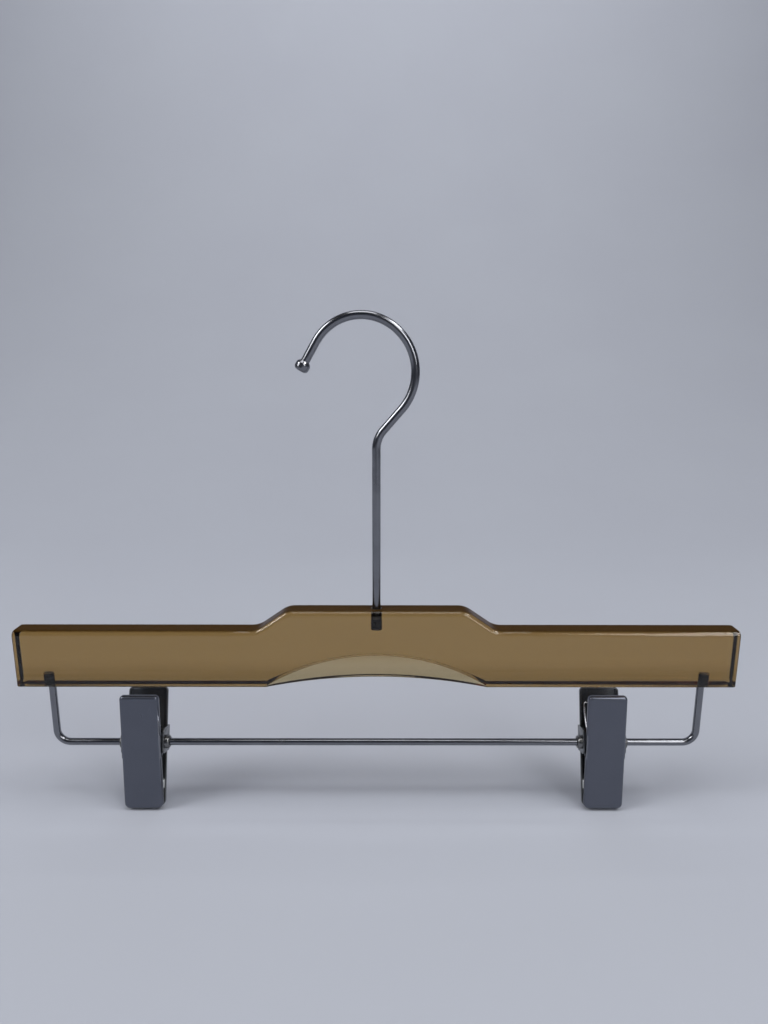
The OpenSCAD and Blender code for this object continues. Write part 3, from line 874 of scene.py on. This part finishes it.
def acrylic():
    """Cast acrylic tinted olive, with faint waviness and fine handling scratches.
    Its upward faces carry painted shade: seen from outside, they take a dark
    diffuse colour. Light inside it meets these faces undimmed."""
    n = Nodes("smoked_acrylic")
    place = n.coords()
    wave = n.noise(place, 0.045, 2.0, 0.4)
    scratch_a = n.noise(n.coords((0.05, 1.0, 2.2), (0, 0.5, 0)), 6.0, 2.0, 0.6)
    scratch_b = n.noise(n.coords((2.0, 1.0, 0.06), (0, 0.3, 0)), 5.0, 2.0, 0.6)
    fine = n.math("MULTIPLY", n.span(scratch_a, 0.60, 0.72, 0, 1),
                  n.span(scratch_b, 0.45, 0.75, 0, 1))
    relief = n.bump(wave, 0.05, 0.25)
    relief = n.bump(fine, 0.0015, 0.15, relief)
    smudge = n.noise(place, 0.06, 5.0, 0.6)
    rough = n.span(smudge, 0.45, 0.75, 0.0, 0.05)
    height = n.add("ShaderNodeSeparateXYZ", {"Vector": place}).outputs["Z"]
    low = n.span(height, LOW_Z + 12, LOW_Z + 5, 0.0, 1.0)
    streak = n.noise(n.coords((0.012, 0.02, 0.35)), 1.0, 3.0, 0.5)
    dim = n.math("MULTIPLY", low, n.span(streak, 0.3, 0.7, 0.6, 1.0))
    tint = n.mix(dim, (1, 1, 1, 1), (0.72, 0.68, 0.52, 1))
    glass = n.surface(Base_Color=tint, Roughness=rough, IOR=1.49, Transmission_Weight=1.0,
                      Normal=relief)
    # Painted shade: upward faces seen from outside are mixed toward a dark diffuse colour.
    surface = n.add("ShaderNodeNewGeometry")
    facing = n.add("ShaderNodeSeparateXYZ", {"Vector": surface.outputs["Normal"]}).outputs["Z"]
    outside = n.math("SUBTRACT", 1.0, surface.outputs["Backfacing"])
    top_shade_share = n.math("MULTIPLY", n.span(facing, 0.7, 0.97, 0.0, 0.88), outside)
    painted_top_shade = n.add("ShaderNodeBsdfDiffuse", {"Color": (0.042, 0.021, 0.004, 1)})
    blend = n.add("ShaderNodeMixShader", {
        "Fac": top_shade_share, 1: glass.outputs[0], 2: painted_top_shade.outputs[0]})
    n.tree.links.new(blend.outputs[0], n.out.inputs["Surface"])
    volume = n.add("ShaderNodeVolumeAbsorption", {"Color": (0.676, 0.476, 0.022, 1),
                                                  "Density": 185.0})
    n.tree.links.new(volume.outputs[0], n.out.inputs["Volume"])
    return n.material


def steel(name, colour, roughness, grain, wear_and_edge_sheen):
    """Drawn steel: a colour, its roughness, the drawing lines' scale along each
    axis, and how far clouds and specks darken it."""
    n = Nodes(name)
    place = n.coords()
    cloud = n.noise(place, 0.12, 5.0, 0.6)
    lines = n.noise(n.coords(grain), 1.0, 6.0, 0.65)
    speck = n.noise(place, 3.0, 3.0, 0.7)
    dark = [c * 0.72 for c in colour] + [1]
    tint = n.mix(n.span(cloud, 0.4, 0.65, 0.0, wear_and_edge_sheen), (*colour, 1), dark)
    tint = n.mix(n.span(speck, 0.66, 0.78, 0.0, wear_and_edge_sheen * 0.8), tint, [c * 0.5 for c in colour] + [1])
    rough = n.span(lines, 0.35, 0.65, roughness * 0.75, roughness * 1.3)
    rough = n.math("ADD", rough, n.span(cloud, 0.5, 0.7, 0.0, roughness * 0.5))
    relief = n.bump(lines, 0.008, 0.35)
    n.surface(Base_Color=tint, Metallic=1.0, Roughness=rough, Normal=relief)
    return n.material


def clip_metal(name, light, dark, wear_and_edge_sheen):
    """Sheet steel with a satin finish in two mixed shades, and a painted highlight
    along its edges, broken by grain."""
    n = Nodes(name)
    place = n.coords()
    cloud = n.noise(place, 0.1, 5.0, 0.6)
    satin = n.noise(n.coords((3.2, 3.2, 0.25)), 1.0, 5.0, 0.6)
    grain = n.noise(place, 9.0, 3.0, 0.7)
    tint = n.mix(n.span(cloud, 0.3, 0.7, 0, 1), (*light, 1), (*dark, 1))
    # Painted highlight: edges, broken by grain, are mixed toward a pale steel colour.
    painted_edge_highlight = n.math("MULTIPLY", n.edges(0.45), n.span(grain, 0.35, 0.6, 0.4, 1.0))
    tint = n.mix(n.math("MULTIPLY", painted_edge_highlight, wear_and_edge_sheen), tint, (0.6, 0.61, 0.63, 1))
    rough = n.span(satin, 0.3, 0.7, 0.23, 0.26)
    rough = n.math("ADD", rough, n.span(cloud, 0.4, 0.8, 0.0, 0.03))
    relief = n.bump(satin, 0.001, 0.2)
    relief = n.bump(grain, 0.0006, 0.2, relief)
    n.surface(Base_Color=tint, Metallic=0.75, Roughness=rough, Normal=relief)
    return n.material


def dark_metal():
    """Blackened steel of the pressed-in sleeves, with a painted highlight along its edges."""
    n = Nodes("blackened_steel")
    place = n.coords()
    cloud = n.noise(place, 0.4, 4.0, 0.6)
    grain = n.noise(n.coords((0.3, 0.3, 5.0)), 1.0, 4.0, 0.6)
    tint = n.mix(n.span(cloud, 0.4, 0.65, 0, 1),
                 (0.012, 0.010, 0.008, 1), (0.005, 0.005, 0.005, 1))
    # Painted highlight: the edges are mixed toward a lighter brown.
    tint = n.mix(n.math("MULTIPLY", n.edges(0.2), 0.6), tint, (0.16, 0.14, 0.11, 1))
    n.surface(Base_Color=tint, Metallic=0.9, Roughness=n.span(grain, 0.3, 0.7, 0.2, 0.34),
              Normal=n.bump(grain, 0.006, 0.4))
    return n.material


def pad_plastic():
    """Milky soft plastic with a moulded skin."""
    n = Nodes("clear_soft_plastic")
    place = n.coords()
    cloud = n.noise(place, 0.35, 4.0, 0.6)
    skin_grain = n.noise(place, 5.0, 3.0, 0.6)
    tint = n.mix(n.span(cloud, 0.4, 0.65, 0, 1), (0.83, 0.85, 0.86, 1), (0.72, 0.75, 0.76, 1))
    n.surface(Base_Color=tint, Roughness=n.span(skin_grain, 0.3, 0.7, 0.12, 0.26), IOR=1.46,
              Transmission_Weight=0.35, Subsurface_Weight=0.35,
              Subsurface_Radius=(0.002, 0.002, 0.002), Normal=n.bump(skin_grain, 0.01, 0.3))
    return n.material


def floor_paint():
    """Matt grey paper that carries on up into the backdrop."""
    n = Nodes("studio_paper")
    place = n.coords()
    fibre = n.noise(place, 2.5, 6.0, 0.65)
    cloud = n.noise(place, 0.004, 3.0, 0.5)
    tint = n.mix(n.span(cloud, 0.3, 0.7, 0, 1), (0.40, 0.42, 0.474, 1), (0.39, 0.408, 0.463, 1))
    n.surface(Base_Color=tint, Roughness=n.span(fibre, 0.3, 0.7, 0.75, 0.9),
              Normal=n.bump(fibre, 0.02, 0.15))
    return n.material


# The room

# Lengths below are in metres.
FLOOR_Z = -0.2384
FLOOR_FRONT_Y = -0.42
FLOOR_HALF = 2.4
BACKDROP_Y = 2.0
BACKDROP_R = 1.5
BACKDROP_H = 4.0
BACKDROP_STEPS = 24
SURROUND_HALF = 3.6
SURROUND_R = 1.2
SURROUND_H = 4.5
SURROUND_DROP = 0.0005
SURROUND_STEPS = 12
SURROUND_SIDES = 96
FLOOR_MIDDLE = (0.0, 0.0, FLOOR_Z)
CLIPS_MIDDLE = (0.0, 0.0, -0.12)

# The camera, solved from the photograph
PHOTO_H = 1024
FOCAL_PX = 705
SENSOR_MM = 36.0
CAMERA_AT = (0.00334, -0.3231, -0.01591)
CAMERA_PITCH = math.radians(-12.28)
CAMERA_YAW = math.radians(-0.04)
CAMERA_ROLL = math.radians(0.08)


def stage_sheet(name, verts, faces, material):
    """A part of the room, facing up, from points in metres."""
    sheet = new_object(name, [[c / MM for c in v] for v in verts], faces)
    if sheet.data.polygons[0].normal.z < 0:
        sheet.data.flip_normals()
    sheet.data.materials.append(material)


def make_floor(material):
    """A flat floor that curves up into a backdrop."""
    bend_y = BACKDROP_Y - BACKDROP_R
    rows = [(FLOOR_FRONT_Y, 0.0), (0.2, 0.0), (bend_y, 0.0)]
    for i in range(1, BACKDROP_STEPS + 1):
        a = math.pi / 2 * i / BACKDROP_STEPS
        rows.append((bend_y + BACKDROP_R * math.sin(a), BACKDROP_R * (1 - math.cos(a))))
    rows.append((BACKDROP_Y, BACKDROP_H))
    verts = [(x, y, z + FLOOR_Z) for y, z in rows for x in (-FLOOR_HALF, FLOOR_HALF)]
    faces = [(2 * i, 2 * i + 1, 2 * i + 3, 2 * i + 2) for i in range(len(rows) - 1)]
    stage_sheet("studio_floor", verts, faces, material)


def make_surround(material):
    """A wide bowl of the same paper outside the floor, for all other views."""
    base = FLOOR_Z - SURROUND_DROP
    rows = [(r, base) for r in (0.001, 0.8, 1.6, SURROUND_HALF - SURROUND_R)]
    for i in range(1, SURROUND_STEPS + 1):
        a = math.pi / 2 * i / SURROUND_STEPS
        rows.append((SURROUND_HALF - SURROUND_R * (1 - math.sin(a)),
                     base + SURROUND_R * (1 - math.cos(a))))
    rows.append((SURROUND_HALF, SURROUND_H))
    turns = [2 * math.pi * k / SURROUND_SIDES for k in range(SURROUND_SIDES)]
    verts = [(r * math.cos(a), r * math.sin(a), z) for r, z in rows for a in turns]
    faces = []
    for i in range(len(rows) - 1):
        for k in range(SURROUND_SIDES):
            near = i * SURROUND_SIDES + k
            far = i * SURROUND_SIDES + (k + 1) % SURROUND_SIDES
            faces.append((near, near + SURROUND_SIDES, far + SURROUND_SIDES, far))
    stage_sheet("studio_surround", verts, faces, material)


def add_lamp(name, place, target, size, power):
    """A softbox of a size in metres and a power in watts, aimed at a point.
    It isn't seen through the bar."""
    data = bpy.data.lights.new(name, "AREA")
    data.shape = "RECTANGLE"
    data.size, data.size_y = size
    data.energy = power
    lamp = bpy.data.objects.new(name, data)
    lamp.visible_transmission = False
    lamp.location = place
    aim = Vector(target) - Vector(place)
    lamp.rotation_euler = aim.to_track_quat("-Z", "Y").to_euler()
    bpy.context.scene.collection.objects.link(lamp)
    return lamp


def make_lights():
    """Soft lamps round the object. Through the bar, only the front right one is
    seen. The glint is seen only as a reflection, and the backdrop's wash never."""
    add_lamp("key_left", (-1.45, -0.35, 1.25), FLOOR_MIDDLE, (0.6, 0.8), 12)
    add_lamp("key_right", (1.15, -0.3, 1.5), FLOOR_MIDDLE, (0.8, 0.45), 13)
    add_lamp("overhead_softbox", (0.0, -0.25, 1.9), FLOOR_MIDDLE, (1.0, 1.3), 12)
    add_lamp("front_left_softbox", (-1.25, -0.6, 0.8), CLIPS_MIDDLE, (0.6, 0.9), 7)
    front = add_lamp("front_right_softbox", (0.75, -1.0, 0.6), CLIPS_MIDDLE, (0.5, 1.0), 7)
    front.visible_transmission = True
    glint = add_lamp("edge_glint", (1.15, -0.3, 1.5), FLOOR_MIDDLE, (0.8, 0.45), 16)
    glint.visible_diffuse = False
    wash = add_lamp("backdrop_wash", (0.0, 1.1, 2.0), (0, 2.0, 1.4), (2.5, 0.6), 22)
    wash.visible_glossy = False


def make_world():
    """A dim bluish glow from all round, behind the surround's open top."""
    world = bpy.data.worlds.new("studio")
    bpy.context.scene.world = world
    world.use_nodes = True
    tree = world.node_tree
    tree.nodes.clear()
    out = tree.nodes.new("ShaderNodeOutputWorld")
    light = tree.nodes.new("ShaderNodeBackground")
    light.inputs["Strength"].default_value = 1.0
    light.inputs["Color"].default_value = (0.05, 0.053, 0.06, 1)
    tree.links.new(light.outputs[0], out.inputs["Surface"])


def make_camera():
    """The photograph's camera: its place, its turn and its angle of view."""
    data = bpy.data.cameras.new("photo_camera")
    data.sensor_fit = "VERTICAL"
    data.sensor_height = SENSOR_MM
    data.lens = FOCAL_PX / PHOTO_H * SENSOR_MM
    data.clip_start = 0.01
    data.clip_end = 20
    camera = bpy.data.objects.new("photo_camera", data)
    camera.location = CAMERA_AT
    turn = Matrix.Rotation(CAMERA_YAW, 4, "Z")
    turn = turn @ Matrix.Rotation(math.pi / 2 + CAMERA_PITCH, 4, "X")
    turn = turn @ Matrix.Rotation(CAMERA_ROLL, 4, "Z")
    camera.rotation_euler = turn.to_euler()
    bpy.context.scene.collection.objects.link(camera)
    bpy.context.scene.camera = camera
    bpy.context.scene.view_settings.view_transform = "Standard"


def make_hanger():
    """All pieces, each with its own material."""
    hook_steel = steel("satin_hook_steel", (0.215, 0.22, 0.24), 0.17, (3.0, 3.0, 0.3), 0.4)
    rail_steel = steel("drawn_rail_steel", (0.22, 0.225, 0.245), 0.18, (0.12, 3.0, 3.0), 0.4)
    rivet_steel = steel("rolled_rivet_steel", (0.2, 0.2, 0.2), 0.26, (0.4, 3.0, 3.0), 0.5)
    spring_wire = steel("spring_wire_steel", (0.55, 0.55, 0.57), 0.2, (1.5, 1.5, 1.5), 0.3)
    sleeve = dark_metal()
    front_sheet = clip_metal("blued_sheet_steel", (0.118, 0.127, 0.157),
                             (0.110, 0.119, 0.148), 0.8)
    back_sheet = clip_metal("grey_sheet_steel", (0.17, 0.175, 0.18),
                            (0.15, 0.155, 0.16), 0.25)
    plastic = pad_plastic()
    make_bar(acrylic())
    make_hook(hook_steel)
    make_socket(sleeve)
    make_ferrules(sleeve)
    make_rail(rail_steel)
    for side in SIDES:
        make_leg(side, True, front_sheet)
        make_leg(side, False, back_sheet)
        make_rivet(side, rivet_steel)
        make_spring(side, spring_wire)
        make_pad(side, True, plastic)
        make_pad(side, False, plastic)


make_hanger()
paper = floor_paint()
make_floor(paper)
make_surround(paper)
make_lights()
make_world()
make_camera()
